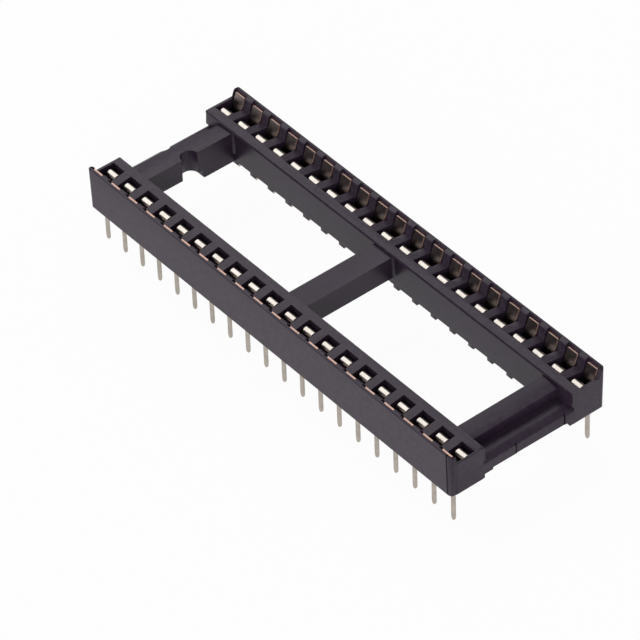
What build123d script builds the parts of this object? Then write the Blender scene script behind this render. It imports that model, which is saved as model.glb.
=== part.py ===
from build123d import *
from math import cos, radians, sin, tan
import os

# An open-frame dual in-line socket: one moulded housing of two rails joined by
# three cross bars, and one stamped two-leaf contact in each cavity.
# X runs along the rows, Y across them and Z up from the board. Z = 0 is the
# seating plane under the feet, and the origin is the middle of the pin grid.
# A value called a reach is measured outwards from a row's centre line.

# Pin grid
pitch = 2.54
contacts_per_row = 20
row_spacing = 15.24

# Rails
end_margin = 0.5
rail_height = 3.7
rail_inner_reach = 2.64
rail_outer_reach = 0.955
outer_draft = 0.1
inner_draft = 0.05
lip_height = 0.2
lip_reach = 0.1
lip_flare = 0.09
corner_radius = 0.4
bottom_radius = 0.3

# Outer guide wall, which leans away from the leads that enter
guide_height = 0.95
guide_foot_thickness = 0.85
guide_top_thickness = 0.55
guide_end_radius = 0.4
guide_edge_radius = 0.08
guide_lead_in = 0.2

# Feet under the rails
foot_height = 0.55
foot_width = 0.7
foot_length = 1.1
foot_setback = 0.29

# Contact cavities
cavity_width = 1.65
inner_wall = 0.89
floor_thickness = 0.8
slot_clearance = 0.05
seat_clearance = 0.02
pocket_clearance = 0.03

# Cross bars
bar_drop = 0.33
bar_depth = 2.42
centre_bar_width = 2.47
end_bar_width = 1.95
end_bar_inset = 1.87
end_bar_flat = 0.5
end_bar_fall = 0.15
bar_root = 0.6
window_radius = 0.25

# Low webs that close the two ends, outside the end bars
web_drop = 1.2
web_depth = 1.63
web_depth_growth = 0.15
web_edge_radius = 0.9
gusset_length = 0.93
gusset_step = 0.22
far_gusset_length = 0.33
far_gusset_step = 0.5
cheek_reach = 0.1
panel_start = -1.38
panel_end = 4.05
panel_depth = 0.04

# Pin-one end: a half-round key groove, a small notch and a keying block
key_radius = 0.88
notch_radius = 0.65
notch_depth = 0.52
block_start = 1.4
block_radius = 0.3

# Contacts, stamped and formed from strip
strip = 0.2
outer_leaf_width = 1.24
inner_leaf_width = 1.15
outer_leaf_height = 0.68
outer_leaf_reach = 0.59
outer_leaf_lean = 21
outer_nose_depth = 0.72
outer_nose_radius = 0.9
outer_root_reach = 0.3
inner_nose_depth = 1.2
inner_nose_reach = -0.22
inner_nose_radius = 0.45
inner_root_reach = -0.75
roll_radius = 0.4
roll_reach = -1.12
roll_depth = 0.63
roll_start = 35
roll_end = 160
tail_width = 0.45
tail_length = 3.25
tail_taper = 0.45
tail_tip_width = 0.2
tail_shoulder_width = 0.36
tail_shoulder_taper = 0.12

# Worked-out places
row_y = row_spacing / 2
rail_bottom = foot_height
rail_top = rail_bottom + rail_height
guide_top = rail_top + guide_height
row_length = (contacts_per_row - 1) * pitch
half_length = row_length / 2 + cavity_width / 2 + end_margin / 2
inner_face = row_y - rail_inner_reach
inner_back = inner_face + lip_reach
floor_top = rail_bottom + floor_thickness
bar_top = rail_top - bar_drop
bar_bottom = bar_top - bar_depth
bar_end = inner_face + bar_root
end_bar_outer = half_length - end_bar_inset
end_bar_inner = end_bar_outer - end_bar_width
web_top = rail_top - web_drop
web_bottom = web_top - web_depth
web_bottom_far = web_bottom - web_depth_growth
gusset_start = inner_face - gusset_length
far_gusset_start = inner_face - far_gusset_length
far_gusset_bottom = web_bottom_far - far_gusset_step
contact_x = [(i - (contacts_per_row - 1) / 2) * pitch for i in range(contacts_per_row)]

# Guide wall section, and the pocket that keeps clear of the outer leaf
outer_top = rail_outer_reach + outer_draft
outer_at_rail_top = rail_outer_reach + outer_draft * rail_height / (rail_height + guide_height)
guide_foot = outer_at_rail_top - guide_foot_thickness
leaf_slope = tan(radians(outer_leaf_lean))
leaf_top = rail_top + outer_leaf_height
leaf_back = outer_leaf_reach - leaf_slope * outer_leaf_height + strip / 2 / cos(radians(outer_leaf_lean))
pocket_back = leaf_back + pocket_clearance
cavity_inner = inner_wall - rail_inner_reach


# Housing
with BuildPart() as housing:
    with BuildSketch(Plane.YZ.offset(-half_length)):
        with BuildLine():
            Polyline(
                (inner_back + inner_draft, rail_bottom),
                (inner_back, rail_top - lip_height),
                (inner_face - lip_flare, rail_top - lip_height),
                (inner_face, rail_top),
                (row_y + guide_foot, rail_top),
                (row_y + outer_top - guide_top_thickness, guide_top),
                (row_y + outer_top, guide_top),
                (row_y + rail_outer_reach, rail_bottom),
                close=True,
            )
        make_face()
        mirror(about=Plane.YZ)
    extrude(amount=2 * half_length)

    # Upright outer corners
    uprights = housing.edges().filter_by(lambda e: e.bounding_box().size.Z > rail_height)
    fillet(uprights, radius=corner_radius)

    # Side outline, which rounds off the ends of the guide walls and undersides
    with BuildSketch(Plane.XZ.offset(-row_spacing)):
        with BuildLine():
            FilletPolyline(
                (-half_length, rail_bottom),
                (half_length, rail_bottom),
                (half_length, guide_top),
                (-half_length, guide_top),
                close=True,
                radius=[bottom_radius, bottom_radius, guide_end_radius, guide_end_radius],
            )
        make_face()
    extrude(amount=2 * row_spacing, mode=Mode.INTERSECT)

    # Long top edges of the guide walls, bevelled where the leads come in
    tops = housing.edges().filter_by(Axis.X).group_by(Axis.Z)[-1]
    outer_tops = tops.filter_by(lambda e: abs(e.center().Y) > row_y + rail_outer_reach)
    inner_tops = tops.filter_by(lambda e: abs(e.center().Y) < row_y + rail_outer_reach)
    fillet(outer_tops, radius=guide_edge_radius)
    chamfer(inner_tops, length=guide_lead_in)

    # Bars between the rails: the end bars' tops fall away towards the ends
    with BuildSketch(Plane.XY.offset(bar_bottom)):
        Rectangle(centre_bar_width, 2 * bar_end)
    extrude(amount=bar_depth)
    with BuildSketch(Plane.XZ.offset(-bar_end)):
        with BuildLine():
            Polyline(
                (end_bar_outer, bar_top - end_bar_fall),
                (end_bar_outer, bar_bottom),
                (end_bar_inner, bar_bottom),
                (end_bar_inner, bar_top),
                (end_bar_inner + end_bar_flat, bar_top),
            )
            TangentArc(
                (end_bar_inner + end_bar_flat, bar_top),
                (end_bar_outer, bar_top - end_bar_fall),
                tangent=(1, 0),
            )
        make_face()
        mirror(about=Plane.YZ)
    extrude(amount=2 * bar_end)

    # Corners of the two windows, where the bars run into the rails
    inside = housing.edges().filter_by(lambda e: abs(e.center().Y) < inner_back + inner_draft)
    inside = inside.filter_by(lambda e: e.bounding_box().size.Z > bar_depth / 2)
    fillet(inside.filter_by(lambda e: abs(e.center().X) < end_bar_outer), radius=window_radius)

    # Low webs at both ends, with a rounded outer top edge
    with BuildSketch(Plane.XZ.offset(-bar_end)):
        with BuildLine():
            FilletPolyline(
                (end_bar_outer, web_top),
                (half_length, web_top),
                (half_length, far_gusset_bottom),
                (end_bar_outer, far_gusset_bottom),
                close=True,
                radius=[0, web_edge_radius, 0, 0],
            )
        make_face()
        mirror(about=Plane.YZ)
    extrude(amount=2 * bar_end)

    # Cheeks that lean in from the rails to the webs, and the undersides of the
    # webs, which fall slightly towards the far row
    for start in (-half_length, end_bar_outer):
        with BuildSketch(Plane.YZ.offset(start)):
            with BuildLine():
                Polyline(
                    (inner_face, rail_top),
                    (inner_face - cheek_reach, web_top),
                    (bar_end, web_top),
                    (bar_end, rail_top),
                    close=True,
                )
            make_face()
            mirror(about=Plane.YZ)
        extrude(amount=end_bar_inset)
        with BuildSketch(Plane.YZ.offset(start)):
            with BuildLine():
                Polyline(
                    (-inner_face, rail_bottom),
                    (-inner_face, web_bottom - gusset_step),
                    (-gusset_start, web_bottom - gusset_step),
                    (-gusset_start, web_bottom),
                    (far_gusset_start, web_bottom_far),
                    (far_gusset_start, rail_bottom),
                    close=True,
                )
            make_face()
        extrude(amount=end_bar_inset, mode=Mode.SUBTRACT)

    # Shallow panel on the outer face of each web
    with BuildSketch(Plane.XY.offset(rail_bottom)):
        with Locations((half_length, (panel_start + panel_end) / 2), (-half_length, (panel_start + panel_end) / 2)):
            Rectangle(2 * panel_depth, panel_end - panel_start)
    extrude(amount=rail_height, mode=Mode.SUBTRACT)

    # Keying block under the far half of the pin-one bar
    with BuildSketch(Plane.YZ.offset(-end_bar_outer)):
        with BuildLine():
            FilletPolyline(
                (bar_end, bar_bottom),
                (block_start, bar_bottom),
                (block_start, rail_bottom),
                (bar_end, rail_bottom),
                close=True,
                radius=[0, 0, block_radius, 0],
            )
        make_face()
    extrude(amount=end_bar_width)

    # Half-round key groove and end notch at the pin-one end
    with BuildSketch(Plane.XY.offset(bar_bottom)):
        with Locations((-end_bar_inner, 0)):
            Circle(key_radius)
    extrude(amount=bar_depth, mode=Mode.SUBTRACT)
    with BuildSketch(Plane.XY.offset(rail_bottom)):
        with Locations((notch_depth - half_length - notch_radius, 0)):
            Circle(notch_radius)
    extrude(amount=rail_height, mode=Mode.SUBTRACT)

    # Feet, one under each contact
    foot_y = inner_face + foot_setback + foot_length / 2
    with BuildSketch(Plane.XY):
        with GridLocations(pitch, 2 * foot_y, contacts_per_row, 2):
            Rectangle(foot_width, foot_length)
    extrude(amount=rail_bottom)

    # Cavities: each opens upwards and runs up the guide wall as a pocket
    for x in contact_x:
        with BuildSketch(Plane.YZ.offset(x - cavity_width / 2)):
            with BuildLine():
                Polyline(
                    (row_y + cavity_inner, floor_top),
                    (row_y + pocket_back, floor_top),
                    (row_y + pocket_back, rail_top),
                    (row_y + pocket_back + leaf_slope * 2 * guide_height, rail_top + 2 * guide_height),
                    (row_y + cavity_inner, rail_top + 2 * guide_height),
                    close=True,
                )
            make_face()
            mirror(about=Plane.YZ)
        extrude(amount=cavity_width, mode=Mode.SUBTRACT)

    # Slots in the floor for the tails
    with BuildSketch(Plane.XY.offset(rail_bottom)):
        with GridLocations(pitch, row_spacing, contacts_per_row, 2):
            Rectangle(tail_width + 2 * slot_clearance, strip + 2 * slot_clearance)
    extrude(amount=floor_thickness, mode=Mode.SUBTRACT)


# Contact, drawn on its row line with its outer leaf towards +Y
base_z = floor_top + strip / 2
outer_nose = outer_leaf_reach - leaf_slope * (outer_leaf_height + outer_nose_depth)
roll_z = rail_top - roll_depth
roll_middle = radians((roll_start + roll_end) / 2)
roll_corner = roll_radius / cos(radians((roll_end - roll_start) / 2))

with BuildPart() as contact:
    # Outer leaf, from its leaning top round to the base
    with BuildSketch(Plane.YZ.offset(-outer_leaf_width / 2)):
        with BuildLine():
            FilletPolyline(
                (outer_leaf_reach, leaf_top),
                (outer_nose, rail_top - outer_nose_depth),
                (outer_root_reach, base_z),
                (0, base_z),
                radius=[outer_nose_radius, 0],
            )
        trace(line_width=strip)
    extrude(amount=outer_leaf_width)

    # Inner leaf, from the base up to the rolled lead-in
    with BuildSketch(Plane.YZ.offset(-inner_leaf_width / 2)):
        with BuildLine():
            FilletPolyline(
                (0, base_z),
                (inner_root_reach, base_z),
                (inner_nose_reach, rail_top - inner_nose_depth),
                (roll_reach + roll_corner * cos(roll_middle), roll_z + roll_corner * sin(roll_middle)),
                (roll_reach + roll_radius * cos(radians(roll_end)), roll_z + roll_radius * sin(radians(roll_end))),
                radius=[0, inner_nose_radius, roll_radius],
            )
        trace(line_width=strip)
    extrude(amount=inner_leaf_width)

    # Base plate, as wide as the cavity lets it be
    with BuildSketch(Plane.XY.offset(floor_top)):
        with Locations((0, (outer_root_reach + inner_root_reach) / 2)):
            Rectangle(cavity_width - 2 * seat_clearance, outer_root_reach - inner_root_reach - strip)
    extrude(amount=strip)

    # Tail, bent down out of the base and tapered to its tip
    with BuildSketch(Plane.XZ.offset(-strip / 2)):
        with BuildLine():
            Polyline(
                (0, base_z),
                (-tail_width / 2, base_z),
                (-tail_width / 2, tail_taper - tail_length),
                (-tail_shoulder_width / 2, tail_shoulder_taper - tail_length),
                (-tail_tip_width / 2, -tail_length),
                (0, -tail_length),
            )
            mirror(about=Plane.YZ)
        make_face()
    extrude(amount=strip)


os.makedirs("parts", exist_ok=True)
housing.part.label = "housing"
export_step(housing.part, "parts/housing.step")

# Pin one is at the -X end of the -Y row, and the count runs round the socket.
# The -Y row's contacts are turned half round, so that all outer leaves face out.
near_row = [(x, -row_y, 180) for x in contact_x]
far_row = [(x, row_y, 0) for x in reversed(contact_x)]
for number, (x, y, turn) in enumerate(near_row + far_row, start=1):
    with BuildPart() as placed:
        with Locations(Location((x, y, 0), (0, 0, turn))):
            add(contact.part)
    name = f"contact_{number:02d}"
    placed.part.label = name
    export_step(placed.part, f"parts/{name}.step")
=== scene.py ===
"""Looks of the dual in-line socket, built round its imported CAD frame.

Lengths are in metres. The housing is a bevelled copy of the CAD moulding, and
every contact is formed from strip by one Geometry Nodes tree.
"""

from collections import namedtuple
from math import cos, hypot, radians, sin, tan

import bmesh
import bpy
from mathutils import Euler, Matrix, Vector


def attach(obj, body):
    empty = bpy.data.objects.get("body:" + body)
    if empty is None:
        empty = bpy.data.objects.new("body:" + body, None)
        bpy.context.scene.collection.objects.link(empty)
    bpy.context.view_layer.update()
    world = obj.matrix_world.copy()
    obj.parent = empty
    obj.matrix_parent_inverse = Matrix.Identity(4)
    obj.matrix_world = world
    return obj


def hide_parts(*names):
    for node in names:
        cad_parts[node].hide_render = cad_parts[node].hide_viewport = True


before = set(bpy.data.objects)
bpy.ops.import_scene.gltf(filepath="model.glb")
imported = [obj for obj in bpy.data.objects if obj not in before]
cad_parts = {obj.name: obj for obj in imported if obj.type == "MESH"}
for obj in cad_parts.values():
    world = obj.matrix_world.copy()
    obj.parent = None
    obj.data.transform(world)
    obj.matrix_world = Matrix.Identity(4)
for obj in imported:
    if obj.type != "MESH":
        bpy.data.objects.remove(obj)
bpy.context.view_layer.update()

MM = 0.001

# Pin grid and the heights that the contacts are set to
PITCH = 2.54 * MM
CONTACTS_PER_ROW = 20
ROW_SPACING = 15.24 * MM
RAIL_TOP = 4.25 * MM
BASE_HEIGHT = 1.45 * MM

# Contact strip: reaches are measured outwards from the row's centre line
STRIP = 0.2 * MM
OUTER_LEAF_WIDTH = 1.24 * MM
INNER_LEAF_WIDTH = 1.15 * MM
BASE_WIDTH = 1.61 * MM
OUTER_LEAF_TOP = RAIL_TOP + 0.68 * MM
OUTER_LEAF_REACH = 0.59 * MM
OUTER_LEAF_LEAN = radians(21)
OUTER_NOSE_HEIGHT = RAIL_TOP - 0.72 * MM
OUTER_NOSE_BEND = 0.9 * MM
OUTER_ROOT_REACH = 0.3 * MM
INNER_NOSE_HEIGHT = RAIL_TOP - 1.5 * MM
INNER_NOSE_REACH = -0.5 * MM
INNER_NOSE_BEND = 0.45 * MM
INNER_ROOT_REACH = -0.75 * MM
BASE_BEND = 0.22 * MM
SHOULDER_RISE = 0.45 * MM
ROLL_BEND = 0.4 * MM
ROLL_REACH = -1.12 * MM
ROLL_HEIGHT = RAIL_TOP - 0.85 * MM
ROLL_START = radians(12)
ROLL_END = radians(160)
TAIL_WIDTH = 0.45 * MM
TAIL_LENGTH = 3.25 * MM
TAIL_BEND = 0.2 * MM
TAIL_ROOT_REACH = -0.4 * MM
TAIL_TAPER = 0.45 * MM
TAIL_SHOULDER_WIDTH = 0.36 * MM
TAIL_SHOULDER = 0.12 * MM
TAIL_TIP_WIDTH = 0.2 * MM
BEND_STEPS = 9

# A face is cut metal if it is turned this far sideways, or lies this far from the strip's middle
CUT_FACING = 0.7
CUT_FROM_MIDDLE = 0.4999

# Softened edges
STRIP_EDGE = 0.022 * MM
HOUSING_EDGE = 0.05 * MM
EDGE_SEGMENTS = 2
SHARP_ANGLE = radians(38)

# Moulding: points that are merged, faces that count as flat, sloped ledges and low web tops
SAME_POINT = 0.0005 * MM
CLOSE_POINT = 0.002 * MM
FLAT_ANGLE = radians(0.6)
FLAT_WEIGHT = 90
LEDGE_REACH = 1.75 * MM
LEDGE_SLOPE = tan(radians(9))
LEDGE_END = 24.9 * MM
WEB_TOP = RAIL_TOP - 1.2 * MM
WEB_ROUND = 0.9 * MM
WEB_DROP = 0.3 * MM
WEB_START = 23.28 * MM

# Near corner at the +X end: the CAD's drafted side and corner radius, and the rounder corner
# shown, whose shift fades out under a thin skin
END_FACE = 25.205 * MM
SIDE_FOOT = 8.575 * MM
SIDE_FOOT_HEIGHT = 0.55 * MM
SIDE_DRAFT = 0.1 / 4.65
CAD_CORNER = 0.4 * MM
CORNER = 0.68 * MM
CORNER_STEP = 0.14 * MM
CORNER_SKIN = 0.12 * MM
CORNER_FROM = 24.79 * MM

# Faint painted shade lines: the dark of the mould lines on the end webs, and a line beside the near
# corner where its rounding starts
LINE_WIDTH = 0.11 * MM
LINE_DEPTH = 0.14 * MM
WEB_LINES = (-1.44 * MM, 4.05 * MM)

# A corner of the strip's line: its place, its bend, and the strip's width, finish and painted shade there
Station = namedtuple("Station", "reach height bend width tinned dipped")

# Finishes of the strip: how far it shows tin rather than the dark bronze of painted shade, and how far it
# is dipped in solder
SHADED_BRONZE = (0, 0)
TINNED = (1, 0)
DIPPED = (1, 1)


# Node helpers

def add_node(tree, kind, **settings):
    """Adds a node and sets its properties."""
    node = tree.nodes.new(kind)
    for name, value in settings.items():
        setattr(node, name, value)
    return node


def join(tree, source, target):
    tree.links.new(source, target)


def feed(tree, value, socket):
    """Joins another node's output to a socket, or sets the socket to a plain number or colour."""
    if isinstance(value, bpy.types.NodeSocket):
        join(tree, value, socket)
    else:
        socket.default_value = value


def new_tree(name, kind, inputs, outputs):
    """Makes a node group with named inputs, each with its first value, and outputs."""
    tree = bpy.data.node_groups.new(name, kind)
    for title, socket_type, value in inputs:
        socket = tree.interface.new_socket(title, in_out="INPUT", socket_type=socket_type)
        if value is not None:
            socket.default_value = value
    for title, socket_type in outputs:
        tree.interface.new_socket(title, in_out="OUTPUT", socket_type=socket_type)
    return tree, tree.nodes.new("NodeGroupInput"), tree.nodes.new("NodeGroupOutput")


def maths(tree, operation, first, second=0):
    node = add_node(tree, "ShaderNodeMath", operation=operation)
    feed(tree, first, node.inputs[0])
    feed(tree, second, node.inputs[1])
    return node.outputs[0]


def between(tree, value, low, high, to_low, to_high):
    """Maps a value from one range to another and clamps it."""
    node = tree.nodes.new("ShaderNodeMapRange")
    join(tree, value, node.inputs["Value"])
    for name, limit in zip(("From Min", "From Max", "To Min", "To Max"), (low, high, to_low, to_high)):
        feed(tree, limit, node.inputs[name])
    return node.outputs["Result"]


def blend_colours(tree, mask, first, second):
    node = add_node(tree, "ShaderNodeMix", data_type="RGBA")
    join(tree, mask, node.inputs["Factor"])
    for name, value in (("A_Color", first), ("B_Color", second)):
        feed(tree, value, next(s for s in node.inputs if s.identifier == name))
    return next(s for s in node.outputs if s.identifier == "Result_Color")


def add_bump(tree, shader, height, strength, depth):
    bump = tree.nodes.new("ShaderNodeBump")
    bump.inputs["Strength"].default_value = strength
    bump.inputs["Distance"].default_value = depth
    join(tree, height, bump.inputs["Height"])
    join(tree, bump.outputs["Normal"], shader.inputs["Normal"])


# Shared shader effects

def make_grain_group():
    """Fine surface grain over a slow cloudy drift, both from Object coordinates."""
    tree, given, result = new_tree(
        "surface_grain",
        "ShaderNodeTree",
        (("Grain Size", "NodeSocketFloat", 0.1 * MM), ("Cloud Size", "NodeSocketFloat", 2 * MM)),
        (("Grain", "NodeSocketFloat"), ("Cloud", "NodeSocketFloat")),
    )
    place = tree.nodes.new("ShaderNodeTexCoord").outputs["Object"]
    for size, output, detail in (("Grain Size", "Grain", 4), ("Cloud Size", "Cloud", 2)):
        noise = tree.nodes.new("ShaderNodeTexNoise")
        noise.inputs["Detail"].default_value = detail
        join(tree, place, noise.inputs["Vector"])
        join(tree, maths(tree, "DIVIDE", 1, given.outputs[size]), noise.inputs["Scale"])
        join(tree, noise.outputs["Fac"], result.inputs[output])
    return tree


def make_wear_group():
    """A mask of the outer edges, broken up by noise."""
    tree, given, result = new_tree(
        "edge_wear",
        "ShaderNodeTree",
        (
            ("Start", "NodeSocketFloat", 0.52),
            ("Full", "NodeSocketFloat", 0.6),
            ("Patch Size", "NodeSocketFloat", 0.6 * MM),
        ),
        (("Mask", "NodeSocketFloat"),),
    )
    pointed = tree.nodes.new("ShaderNodeNewGeometry").outputs["Pointiness"]
    edge = between(tree, pointed, given.outputs["Start"], given.outputs["Full"], 0, 1)
    noise = tree.nodes.new("ShaderNodeTexNoise")
    join(tree, tree.nodes.new("ShaderNodeTexCoord").outputs["Object"], noise.inputs["Vector"])
    join(tree, maths(tree, "DIVIDE", 1, given.outputs["Patch Size"]), noise.inputs["Scale"])
    broken = between(tree, noise.outputs["Fac"], 0.35, 0.65, 0.35, 1)
    join(tree, maths(tree, "MULTIPLY", edge, broken), result.inputs["Mask"])
    return tree


def make_line_group():
    """A mask from Object coordinates of painted shade lines: the shade in the shallow lines that the
    mould's inserts leave on the end webs, and a line where the near corner's rounding starts.
    """
    tree, given, result = new_tree(
        "mould_and_shade_lines",
        "ShaderNodeTree",
        (
            ("Width", "NodeSocketFloat", LINE_WIDTH),
            ("First Web Line", "NodeSocketFloat", WEB_LINES[0]),
            ("Second Web Line", "NodeSocketFloat", WEB_LINES[1]),
            ("Corner Shade Line", "NodeSocketFloat", END_FACE - CORNER),
        ),
        (("Mask", "NodeSocketFloat"),),
    )
    where = tree.nodes.new("ShaderNodeSeparateXYZ")
    join(tree, tree.nodes.new("ShaderNodeTexCoord").outputs["Object"], where.inputs["Vector"])
    half = maths(tree, "DIVIDE", given.outputs["Width"], 2)

    def line_at(axis, place):
        away = maths(tree, "SUBTRACT", where.outputs[axis], given.outputs[place])
        return between(tree, maths(tree, "ABSOLUTE", away), half, given.outputs["Width"], 1, 0)

    reach = maths(tree, "ABSOLUTE", where.outputs["X"])
    on_end = maths(tree, "GREATER_THAN", reach, END_FACE - LINE_DEPTH)
    on_web = maths(tree, "MULTIPLY", on_end, maths(tree, "LESS_THAN", where.outputs["Z"], WEB_TOP))
    on_near_side = maths(tree, "LESS_THAN", where.outputs["Y"], LINE_DEPTH - SIDE_FOOT)
    both = maths(tree, "MAXIMUM", line_at("Y", "First Web Line"), line_at("Y", "Second Web Line"))
    web_lines = maths(tree, "MULTIPLY", on_web, both)
    # Painted shade along the near side where the corner's rounding starts
    corner_shade_line = maths(tree, "MULTIPLY", on_near_side, line_at("X", "Corner Shade Line"))
    join(tree, maths(tree, "MAXIMUM", web_lines, corner_shade_line), result.inputs["Mask"])
    return tree


def place_group(tree, group, **values):
    """Places a shared group in a material, with its own values."""
    node = add_node(tree, "ShaderNodeGroup", node_tree=group)
    for name, value in values.items():
        node.inputs[name.replace("_", " ")].default_value = value
    return node.outputs


def start_material(name):
    material = bpy.data.materials.new(name)
    material.use_nodes = True
    return material, material.node_tree, material.node_tree.nodes["Principled BSDF"]


def make_housing_plastic(grain_group, wear_group, line_group):
    """Satin moulding compound, nearly black with a faint violet cast."""
    material, tree, shader = start_material("housing_plastic")
    grain = place_group(tree, grain_group, Grain_Size=0.09 * MM, Cloud_Size=1.6 * MM)
    wear = place_group(tree, wear_group, Start=0.53, Full=0.62, Patch_Size=0.5 * MM)
    lines = place_group(tree, line_group)["Mask"]
    dark = (0.023, 0.012, 0.027, 1)
    light = (0.028, 0.016, 0.032, 1)
    speck = (0.045, 0.033, 0.052, 1)
    rubbed = (0.07, 0.055, 0.075, 1)
    # Painted shade: near-black where the web's mould lines would hold shade in their grooves, and where
    # the near corner's rounding starts
    painted_groove_shade = (0.001, 0.001, 0.001, 1)
    body = blend_colours(tree, between(tree, grain["Cloud"], 0.35, 0.65, 0, 1), dark, light)
    body = blend_colours(tree, between(tree, grain["Grain"], 0.62, 0.75, 0, 0.5), body, speck)
    body = blend_colours(tree, maths(tree, "MULTIPLY", wear["Mask"], 0.35), body, rubbed)
    join(tree, blend_colours(tree, lines, body, painted_groove_shade), shader.inputs["Base Color"])
    rough = between(tree, grain["Grain"], 0.3, 0.7, 0.3, 0.38)
    join(tree, maths(tree, "ADD", rough, maths(tree, "MULTIPLY", lines, 0.5)), shader.inputs["Roughness"])
    shader.inputs["Specular IOR Level"].default_value = 0.22
    add_bump(tree, shader, grain["Grain"], 0.35, 0.008 * MM)
    return material


def make_contact_metal(grain_group):
    """Strip with its outer leaf coloured dark bronze as painted shade, bright tin inside, copper cut
    edges and dull dipped tails.
    """
    material, tree, shader = start_material("contact_metal")
    grain = place_group(tree, grain_group, Grain_Size=0.05 * MM, Cloud_Size=0.6 * MM)
    cloud = between(tree, grain["Cloud"], 0.35, 0.65, 0, 1)
    tinned = add_node(tree, "ShaderNodeAttribute", attribute_name="tinned").outputs["Fac"]
    dipped = add_node(tree, "ShaderNodeAttribute", attribute_name="dipped").outputs["Fac"]
    cut = add_node(tree, "ShaderNodeAttribute", attribute_name="cut_edge").outputs["Fac"]
    bare_edge = maths(tree, "MULTIPLY", cut, maths(tree, "SUBTRACT", 1, dipped))
    tin = blend_colours(tree, cloud, (0.36, 0.33, 0.295, 1), (0.43, 0.4, 0.37, 1))
    solder = blend_colours(tree, cloud, (0.42, 0.38, 0.33, 1), (0.52, 0.47, 0.42, 1))
    speckle = between(tree, grain["Grain"], 0.4, 0.6, 0, 1)
    copper = blend_colours(tree, speckle, (0.76, 0.53, 0.45, 1), (0.89, 0.65, 0.55, 1))
    # Painted shade: the outer leaf is coloured dark bronze, standing in for the dark reflections of the
    # housing in its faces
    painted_shade_bronze = blend_colours(tree, cloud, (0.19, 0.155, 0.15, 1), (0.24, 0.2, 0.19, 1))
    surface = blend_colours(tree, tinned, painted_shade_bronze, blend_colours(tree, dipped, tin, solder))
    join(tree, blend_colours(tree, bare_edge, surface, copper), shader.inputs["Base Color"])
    shader.inputs["Metallic"].default_value = 1
    shaded_leaf = maths(tree, "SUBTRACT", 1, tinned)
    rough = between(tree, grain["Cloud"], 0.3, 0.7, 0.21, 0.27)
    for mask, duller in ((bare_edge, 0.35), (dipped, 0.3), (shaded_leaf, 0.1)):
        rough = maths(tree, "ADD", rough, maths(tree, "MULTIPLY", mask, duller))
    join(tree, rough, shader.inputs["Roughness"])
    add_bump(tree, shader, grain["Grain"], 0.1, 0.002 * MM)
    return material


# Housing

def finish_edges(piece, width):
    """Rounds a piece's sharp edges, keeping its flat faces flat."""
    bevel = piece.modifiers.new("soft_edges", "BEVEL")
    bevel.width = width
    bevel.segments = EDGE_SEGMENTS
    bevel.limit_method = "ANGLE"
    bevel.angle_limit = SHARP_ANGLE
    bevel.harden_normals = True
    bevel.miter_outer = "MITER_ARC"


def settle_tops(shell):
    """Slopes the ledges between the contacts towards the guide walls, and sets the end webs lower."""
    ledge = ROW_SPACING / 2 - LEDGE_REACH
    for side in (-1, 1):
        parts = [*shell.verts, *shell.edges, *shell.faces]
        place = (0, side * ledge, 0)
        bmesh.ops.bisect_plane(shell, geom=parts, dist=CLOSE_POINT, plane_co=place, plane_no=(0, 1, 0))
    for vertex in shell.verts:
        x, y, z = abs(vertex.co.x), abs(vertex.co.y), vertex.co.z
        if abs(z - RAIL_TOP) < SAME_POINT and y > ledge and x < LEDGE_END:
            vertex.co.z -= LEDGE_SLOPE * (y - ledge)
        elif x > WEB_START and y < ledge and WEB_TOP - WEB_ROUND < z < WEB_TOP + SAME_POINT:
            vertex.co.z -= WEB_DROP * (z - WEB_TOP + WEB_ROUND) / WEB_ROUND


def corner_depth(past_end, past_side, radius):
    """How far a point lies outside a rounded upright corner, given how far it is past both faces."""
    return hypot(max(past_end + radius, 0), max(past_side + radius, 0)) - radius


def round_near_corner(shell):
    """Gives the upright corner between the near side and the +X end its rounder look."""
    for reach in (CORNER, CORNER - CORNER_STEP):
        end_cut = ((END_FACE - reach, 0, 0), (1, 0, 0))
        side_cut = ((0, reach - SIDE_FOOT, SIDE_FOOT_HEIGHT), (0, -1, -SIDE_DRAFT))
        for place, facing in (end_cut, side_cut):
            near = [v for v in shell.verts if v.co.x > CORNER_FROM and v.co.y < 0]
            faces = dict.fromkeys(face for vertex in near for face in vertex.link_faces)
            parts = dict.fromkeys(part for face in faces for part in (face, *face.edges, *face.verts))
            bmesh.ops.bisect_plane(
                shell, geom=list(parts), dist=CLOSE_POINT, plane_co=place, plane_no=facing
            )
    for vertex in shell.verts:
        x, y, z = vertex.co
        past_end = x - END_FACE
        past_side = -y - SIDE_FOOT - SIDE_DRAFT * (z - SIDE_FOOT_HEIGHT)
        if min(past_end, past_side) > -CORNER:
            depth = corner_depth(past_end, past_side, CAD_CORNER)
            shift = corner_depth(past_end, past_side, CORNER) - depth
            shift *= min(max(2 + depth / CORNER_SKIN, 0), 1)
            away = hypot(past_end + CORNER, past_side + CORNER)
            vertex.co.x -= shift * (past_end + CORNER) / away
            vertex.co.y += shift * (past_side + CORNER) / away


def make_housing(material):
    """A merged copy of the CAD moulding, with settled tops, a rounder near corner and soft edges."""
    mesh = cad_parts["housing"].data.copy()
    mesh.name = "housing_moulding"
    shell = bmesh.new()
    shell.from_mesh(mesh)
    bmesh.ops.remove_doubles(shell, verts=shell.verts, dist=SAME_POINT)
    settle_tops(shell)
    bmesh.ops.dissolve_limit(shell, angle_limit=FLAT_ANGLE, verts=shell.verts, edges=shell.edges)
    round_near_corner(shell)
    bmesh.ops.remove_doubles(shell, verts=shell.verts, dist=SAME_POINT)
    for face in shell.faces:
        face.smooth = True
    shell.to_mesh(mesh)
    shell.free()
    mesh.materials.clear()
    mesh.materials.append(material)
    piece = bpy.data.objects.new("housing_moulding", mesh)
    bpy.context.scene.collection.objects.link(piece)
    finish_edges(piece, HOUSING_EDGE)
    shading = piece.modifiers.new("flat_faces", "WEIGHTED_NORMAL")
    shading.mode = "FACE_AREA"
    shading.weight = FLAT_WEIGHT
    return piece


# Contacts

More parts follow.
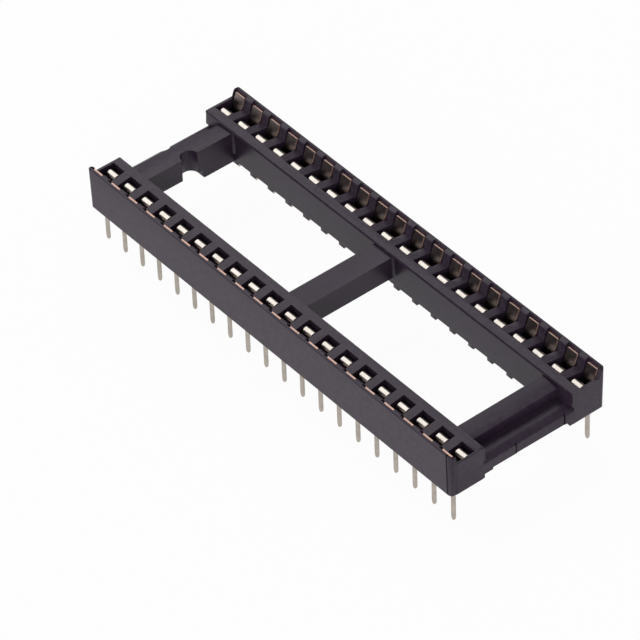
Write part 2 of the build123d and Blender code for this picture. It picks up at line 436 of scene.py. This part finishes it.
def leaf_stations():
    """The strip's line from the outer leaf's top, down, along the base and up to the roll's end."""
    slope = tan(OUTER_LEAF_LEAN)
    nose = OUTER_LEAF_REACH - slope * (OUTER_LEAF_TOP - OUTER_NOSE_HEIGHT)
    shoulder = BASE_HEIGHT + SHOULDER_RISE
    outer_part = SHOULDER_RISE / (OUTER_NOSE_HEIGHT - BASE_HEIGHT)
    outer_shoulder = OUTER_ROOT_REACH + (nose - OUTER_ROOT_REACH) * outer_part
    inner_part = SHOULDER_RISE / (INNER_NOSE_HEIGHT - BASE_HEIGHT)
    inner_shoulder = INNER_ROOT_REACH + (INNER_NOSE_REACH - INNER_ROOT_REACH) * inner_part
    middle = (ROLL_START + ROLL_END) / 2
    corner = ROLL_BEND / cos((ROLL_END - ROLL_START) / 2)
    roll_corner = (ROLL_REACH + corner * cos(middle), ROLL_HEIGHT + corner * sin(middle))
    roll_tip = (ROLL_REACH + ROLL_BEND * cos(ROLL_END), ROLL_HEIGHT + ROLL_BEND * sin(ROLL_END))
    return [
        # The outer leaf's stations carry the painted-shade bronze
        Station(OUTER_LEAF_REACH, OUTER_LEAF_TOP, 0, OUTER_LEAF_WIDTH, *SHADED_BRONZE),
        Station(nose, OUTER_NOSE_HEIGHT, OUTER_NOSE_BEND, OUTER_LEAF_WIDTH, *SHADED_BRONZE),
        Station(outer_shoulder, shoulder, 0, OUTER_LEAF_WIDTH, *TINNED),
        Station(OUTER_ROOT_REACH, BASE_HEIGHT, BASE_BEND, BASE_WIDTH, *TINNED),
        Station(INNER_ROOT_REACH, BASE_HEIGHT, BASE_BEND, BASE_WIDTH, *TINNED),
        Station(inner_shoulder, shoulder, 0, INNER_LEAF_WIDTH, *TINNED),
        Station(INNER_NOSE_REACH, INNER_NOSE_HEIGHT, INNER_NOSE_BEND, INNER_LEAF_WIDTH, *TINNED),
        Station(*roll_corner, ROLL_BEND, INNER_LEAF_WIDTH, *TINNED),
        Station(*roll_tip, 0, INNER_LEAF_WIDTH, *TINNED),
    ]


def tail_stations():
    """The tail's line, bent down out of the base and narrowed at its tip."""
    return [
        Station(TAIL_ROOT_REACH, BASE_HEIGHT, 0, TAIL_WIDTH, *DIPPED),
        Station(0, BASE_HEIGHT, TAIL_BEND, TAIL_WIDTH, *DIPPED),
        Station(0, TAIL_TAPER - TAIL_LENGTH, 0, TAIL_WIDTH, *DIPPED),
        Station(0, TAIL_SHOULDER - TAIL_LENGTH, 0, TAIL_SHOULDER_WIDTH, *DIPPED),
        Station(0, -TAIL_LENGTH, 0, TAIL_TIP_WIDTH, *DIPPED),
    ]


def make_line_mesh(*lines):
    """Strip lines as edges, with each corner's bend radius, strip width, finish and painted shade as
    attributes.
    """
    mesh = bpy.data.meshes.new("strip_lines")
    corners = [(0, s.reach, s.height) for line in lines for s in line]
    edges = []
    first = 0
    for line in lines:
        edges += [(first + i, first + i + 1) for i in range(len(line) - 1)]
        first += len(line)
    mesh.from_pydata(corners, edges, [])
    for name in ("bend", "width", "tinned", "dipped"):
        values = mesh.attributes.new(name, "FLOAT", "POINT")
        values.data.foreach_set("value", [getattr(s, name) for line in lines for s in line])
    return mesh


def make_strip_tree(material):
    """Geometry Nodes: bends the lines, sweeps the strip along them and puts the contact in its place."""
    tree, given, result = new_tree(
        "formed_strip",
        "GeometryNodeTree",
        (
            ("Lines", "NodeSocketGeometry", None),
            ("Thickness", "NodeSocketFloat", STRIP),
            ("Bend Steps", "NodeSocketInt", BEND_STEPS),
            ("Place", "NodeSocketVector", (0, 0, 0)),
            ("Turn", "NodeSocketFloat", 0.0),
        ),
        (("Contact", "NodeSocketGeometry"),),
    )
    curve = tree.nodes.new("GeometryNodeMeshToCurve")
    join(tree, given.outputs["Lines"], curve.inputs["Mesh"])

    bend = add_node(tree, "GeometryNodeInputNamedAttribute", data_type="FLOAT")
    bend.inputs["Name"].default_value = "bend"
    fillet = add_node(tree, "GeometryNodeFilletCurve", mode="POLY")
    join(tree, curve.outputs["Curve"], fillet.inputs["Curve"])
    join(tree, given.outputs["Bend Steps"], fillet.inputs["Count"])
    join(tree, bend.outputs["Attribute"], fillet.inputs["Radius"])

    across = add_node(tree, "GeometryNodeSetCurveNormal", mode="FREE")
    across.inputs["Normal"].default_value = (1, 0, 0)
    join(tree, fillet.outputs["Curve"], across.inputs["Curve"])

    # A strip one metre wide, which the width attribute brings to size
    section = add_node(tree, "GeometryNodeCurvePrimitiveQuadrilateral", mode="RECTANGLE")
    section.inputs["Width"].default_value = 1
    join(tree, given.outputs["Thickness"], section.inputs["Height"])

    along = tree.nodes.new("GeometryNodeSplineParameter")
    ends = tree.nodes.new("GeometryNodeCaptureAttribute")
    ends.capture_items.new("FLOAT", "Along")
    join(tree, across.outputs["Curve"], ends.inputs["Geometry"])
    join(tree, along.outputs["Factor"], ends.inputs["Along"])

    sweep = tree.nodes.new("GeometryNodeCurveToMesh")
    sweep.inputs["Fill Caps"].default_value = True
    join(tree, ends.outputs["Geometry"], sweep.inputs["Curve"])
    join(tree, section.outputs["Curve"], sweep.inputs["Profile Curve"])

    width = add_node(tree, "GeometryNodeInputNamedAttribute", data_type="FLOAT")
    width.inputs["Name"].default_value = "width"
    where = tree.nodes.new("ShaderNodeSeparateXYZ")
    join(tree, tree.nodes.new("GeometryNodeInputPosition").outputs["Position"], where.inputs["Vector"])
    sized = tree.nodes.new("ShaderNodeCombineXYZ")
    join(tree, maths(tree, "MULTIPLY", where.outputs["X"], width.outputs["Attribute"]), sized.inputs["X"])
    join(tree, where.outputs["Y"], sized.inputs["Y"])
    join(tree, where.outputs["Z"], sized.inputs["Z"])
    shaped = tree.nodes.new("GeometryNodeSetPosition")
    join(tree, sweep.outputs["Mesh"], shaped.inputs["Geometry"])
    join(tree, sized.outputs["Vector"], shaped.inputs["Position"])

    # Stamped faces: the strip's two sides and its ends
    facing = tree.nodes.new("ShaderNodeSeparateXYZ")
    join(tree, tree.nodes.new("GeometryNodeInputNormal").outputs["Normal"], facing.inputs["Vector"])
    sideways = maths(tree, "GREATER_THAN", maths(tree, "ABSOLUTE", facing.outputs["X"]), CUT_FACING)
    from_middle = maths(tree, "ABSOLUTE", maths(tree, "SUBTRACT", ends.outputs["Along"], 0.5))
    face_value = add_node(tree, "GeometryNodeFieldOnDomain", domain="FACE", data_type="FLOAT")
    join(tree, from_middle, face_value.inputs["Value"])
    at_end = maths(tree, "GREATER_THAN", face_value.outputs["Value"], CUT_FROM_MIDDLE)
    cut = add_node(tree, "GeometryNodeStoreNamedAttribute", data_type="FLOAT", domain="FACE")
    cut.inputs["Name"].default_value = "cut_edge"
    join(tree, shaped.outputs["Geometry"], cut.inputs["Geometry"])
    join(tree, maths(tree, "MAXIMUM", sideways, at_end), cut.inputs["Value"])

    turn = tree.nodes.new("ShaderNodeCombineXYZ")
    join(tree, given.outputs["Turn"], turn.inputs["Z"])
    placed = tree.nodes.new("GeometryNodeTransform")
    join(tree, cut.outputs["Geometry"], placed.inputs["Geometry"])
    join(tree, given.outputs["Place"], placed.inputs["Translation"])
    join(tree, turn.outputs["Vector"], placed.inputs["Rotation"])

    real = tree.nodes.new("GeometryNodeRealizeInstances")
    finish = tree.nodes.new("GeometryNodeSetMaterial")
    finish.inputs["Material"].default_value = material
    join(tree, placed.outputs["Geometry"], real.inputs["Geometry"])
    join(tree, real.outputs["Geometry"], finish.inputs["Geometry"])
    join(tree, finish.outputs["Geometry"], result.inputs["Contact"])
    return tree


def set_inputs(modifier, **values):
    """Sets a Geometry Nodes modifier's inputs by their sockets' identifiers."""
    sockets = [item for item in modifier.node_group.interface.items_tree if item.in_out == "INPUT"]
    named = {socket.name: socket.identifier for socket in sockets}
    for name, value in values.items():
        modifier[named[name.replace("_", " ")]] = value


def make_contact(name, lines, tree, place, turn):
    """Forms one contact in its place and returns it as a plain mesh piece."""
    former = bpy.data.objects.new(name, lines)
    bpy.context.scene.collection.objects.link(former)
    modifier = former.modifiers.new("formed_strip", "NODES")
    modifier.node_group = tree
    set_inputs(modifier, Place=place, Turn=turn)
    graph = bpy.context.evaluated_depsgraph_get()
    mesh = bpy.data.meshes.new_from_object(former.evaluated_get(graph))
    former.modifiers.clear()
    former.data = mesh
    mesh.name = name
    mesh.polygons.foreach_set("use_smooth", [True] * len(mesh.polygons))
    finish_edges(former, STRIP_EDGE)
    return former


def contact_places():
    """Every contact's place and turn, counted round from pin one at the -X end of the -Y row."""
    half_row = (CONTACTS_PER_ROW - 1) / 2
    steps = [(i - half_row) * PITCH for i in range(CONTACTS_PER_ROW)]
    near_row = [((x, -ROW_SPACING / 2, 0.0), radians(180)) for x in steps]
    far_row = [((x, ROW_SPACING / 2, 0.0), 0.0) for x in reversed(steps)]
    return near_row + far_row


# Stage, light and camera

FLOOR_SIDE = 1.2
FLOOR_WHITE = 0.96
AIR_LIGHT = 0.4
LENS = 272.97
SENSOR = 36
CLIP_START = 0.01
CLIP_END = 10
CAMERA_PLACE = (0.24973, -0.19657, 0.28841)
CAMERA_TURN = (radians(47.6241), radians(1.7059), radians(50.5814))


def white_for_viewers(tree, lit, amount):
    """Mixes plain white into a shader for rays that the camera, gloss or glass send."""
    rays = tree.nodes.new("ShaderNodeLightPath").outputs
    seen = maths(tree, "MAXIMUM", rays["Is Camera Ray"], rays["Is Glossy Ray"])
    seen = maths(tree, "MAXIMUM", seen, rays["Is Transmission Ray"])
    white = tree.nodes.new("ShaderNodeEmission")
    mix = tree.nodes.new("ShaderNodeMixShader")
    join(tree, maths(tree, "MULTIPLY", seen, amount), mix.inputs["Fac"])
    join(tree, lit, mix.inputs[1])
    join(tree, white.outputs["Emission"], mix.inputs[2])
    return mix.outputs["Shader"]


def make_floor():
    """A pale floor under the tails, white to the camera but for the object's faint shadow."""
    half = FLOOR_SIDE / 2
    corners = [(x * half, y * half, -TAIL_LENGTH) for x, y in ((-1, -1), (1, -1), (1, 1), (-1, 1))]
    mesh = bpy.data.meshes.new("floor")
    mesh.from_pydata(corners, [], [(0, 1, 2, 3)])
    floor = bpy.data.objects.new("floor", mesh)
    bpy.context.scene.collection.objects.link(floor)
    material, tree, shader = start_material("pale_floor")
    shader.inputs["Base Color"].default_value = (0.85, 0.85, 0.85, 1)
    shader.inputs["Roughness"].default_value = 0.9
    shader.inputs["Specular IOR Level"].default_value = 0
    output = tree.nodes["Material Output"]
    join(tree, white_for_viewers(tree, shader.outputs["BSDF"], FLOOR_WHITE), output.inputs["Surface"])
    mesh.materials.append(material)
    return floor


def make_softbox(name, place, width, height, power):
    """A rectangular lamp that faces the socket's middle."""
    lamp = bpy.data.lights.new(name, "AREA")
    lamp.shape = "RECTANGLE"
    lamp.size = width
    lamp.size_y = height
    lamp.energy = power
    box = bpy.data.objects.new(name, lamp)
    box.location = place
    box.rotation_euler = (-Vector(place)).to_track_quat("-Z", "Y").to_euler()
    bpy.context.scene.collection.objects.link(box)


def make_world():
    """Even, dim studio air that fills what the softboxes leave dark."""
    world = bpy.data.worlds.new("studio_air")
    world.use_nodes = True
    air = world.node_tree.nodes["Background"].inputs
    air["Color"].default_value = (1, 1, 1, 1)
    air["Strength"].default_value = AIR_LIGHT
    bpy.context.scene.world = world


def make_camera():
    lens = bpy.data.cameras.new("camera")
    lens.lens = LENS
    lens.sensor_width = SENSOR
    lens.clip_start = CLIP_START
    lens.clip_end = CLIP_END
    camera = bpy.data.objects.new("camera", lens)
    camera.location = CAMERA_PLACE
    camera.rotation_euler = Euler(CAMERA_TURN)
    bpy.context.scene.collection.objects.link(camera)
    bpy.context.scene.camera = camera


grain_group = make_grain_group()
wear_group = make_wear_group()
line_group = make_line_group()

housing = make_housing(make_housing_plastic(grain_group, wear_group, line_group))
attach(housing, "root")
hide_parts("housing")

strip_lines = make_line_mesh(leaf_stations(), tail_stations())
strip_tree = make_strip_tree(make_contact_metal(grain_group))
for number, (place, turn) in enumerate(contact_places(), start=1):
    contact = make_contact(f"formed_contact_{number:02d}", strip_lines, strip_tree, place, turn)
    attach(contact, "root")
    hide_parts(f"contact_{number:02d}")

make_floor()
make_world()
make_softbox("side_softbox", place=(-0.51, 0.02, 0.6), width=1.0, height=0.45, power=3.15)
make_softbox("front_softbox", place=(0.5, -0.53, 0.24), width=0.6, height=0.4, power=1.95)
make_camera()
bpy.context.scene.view_settings.view_transform = "Standard"
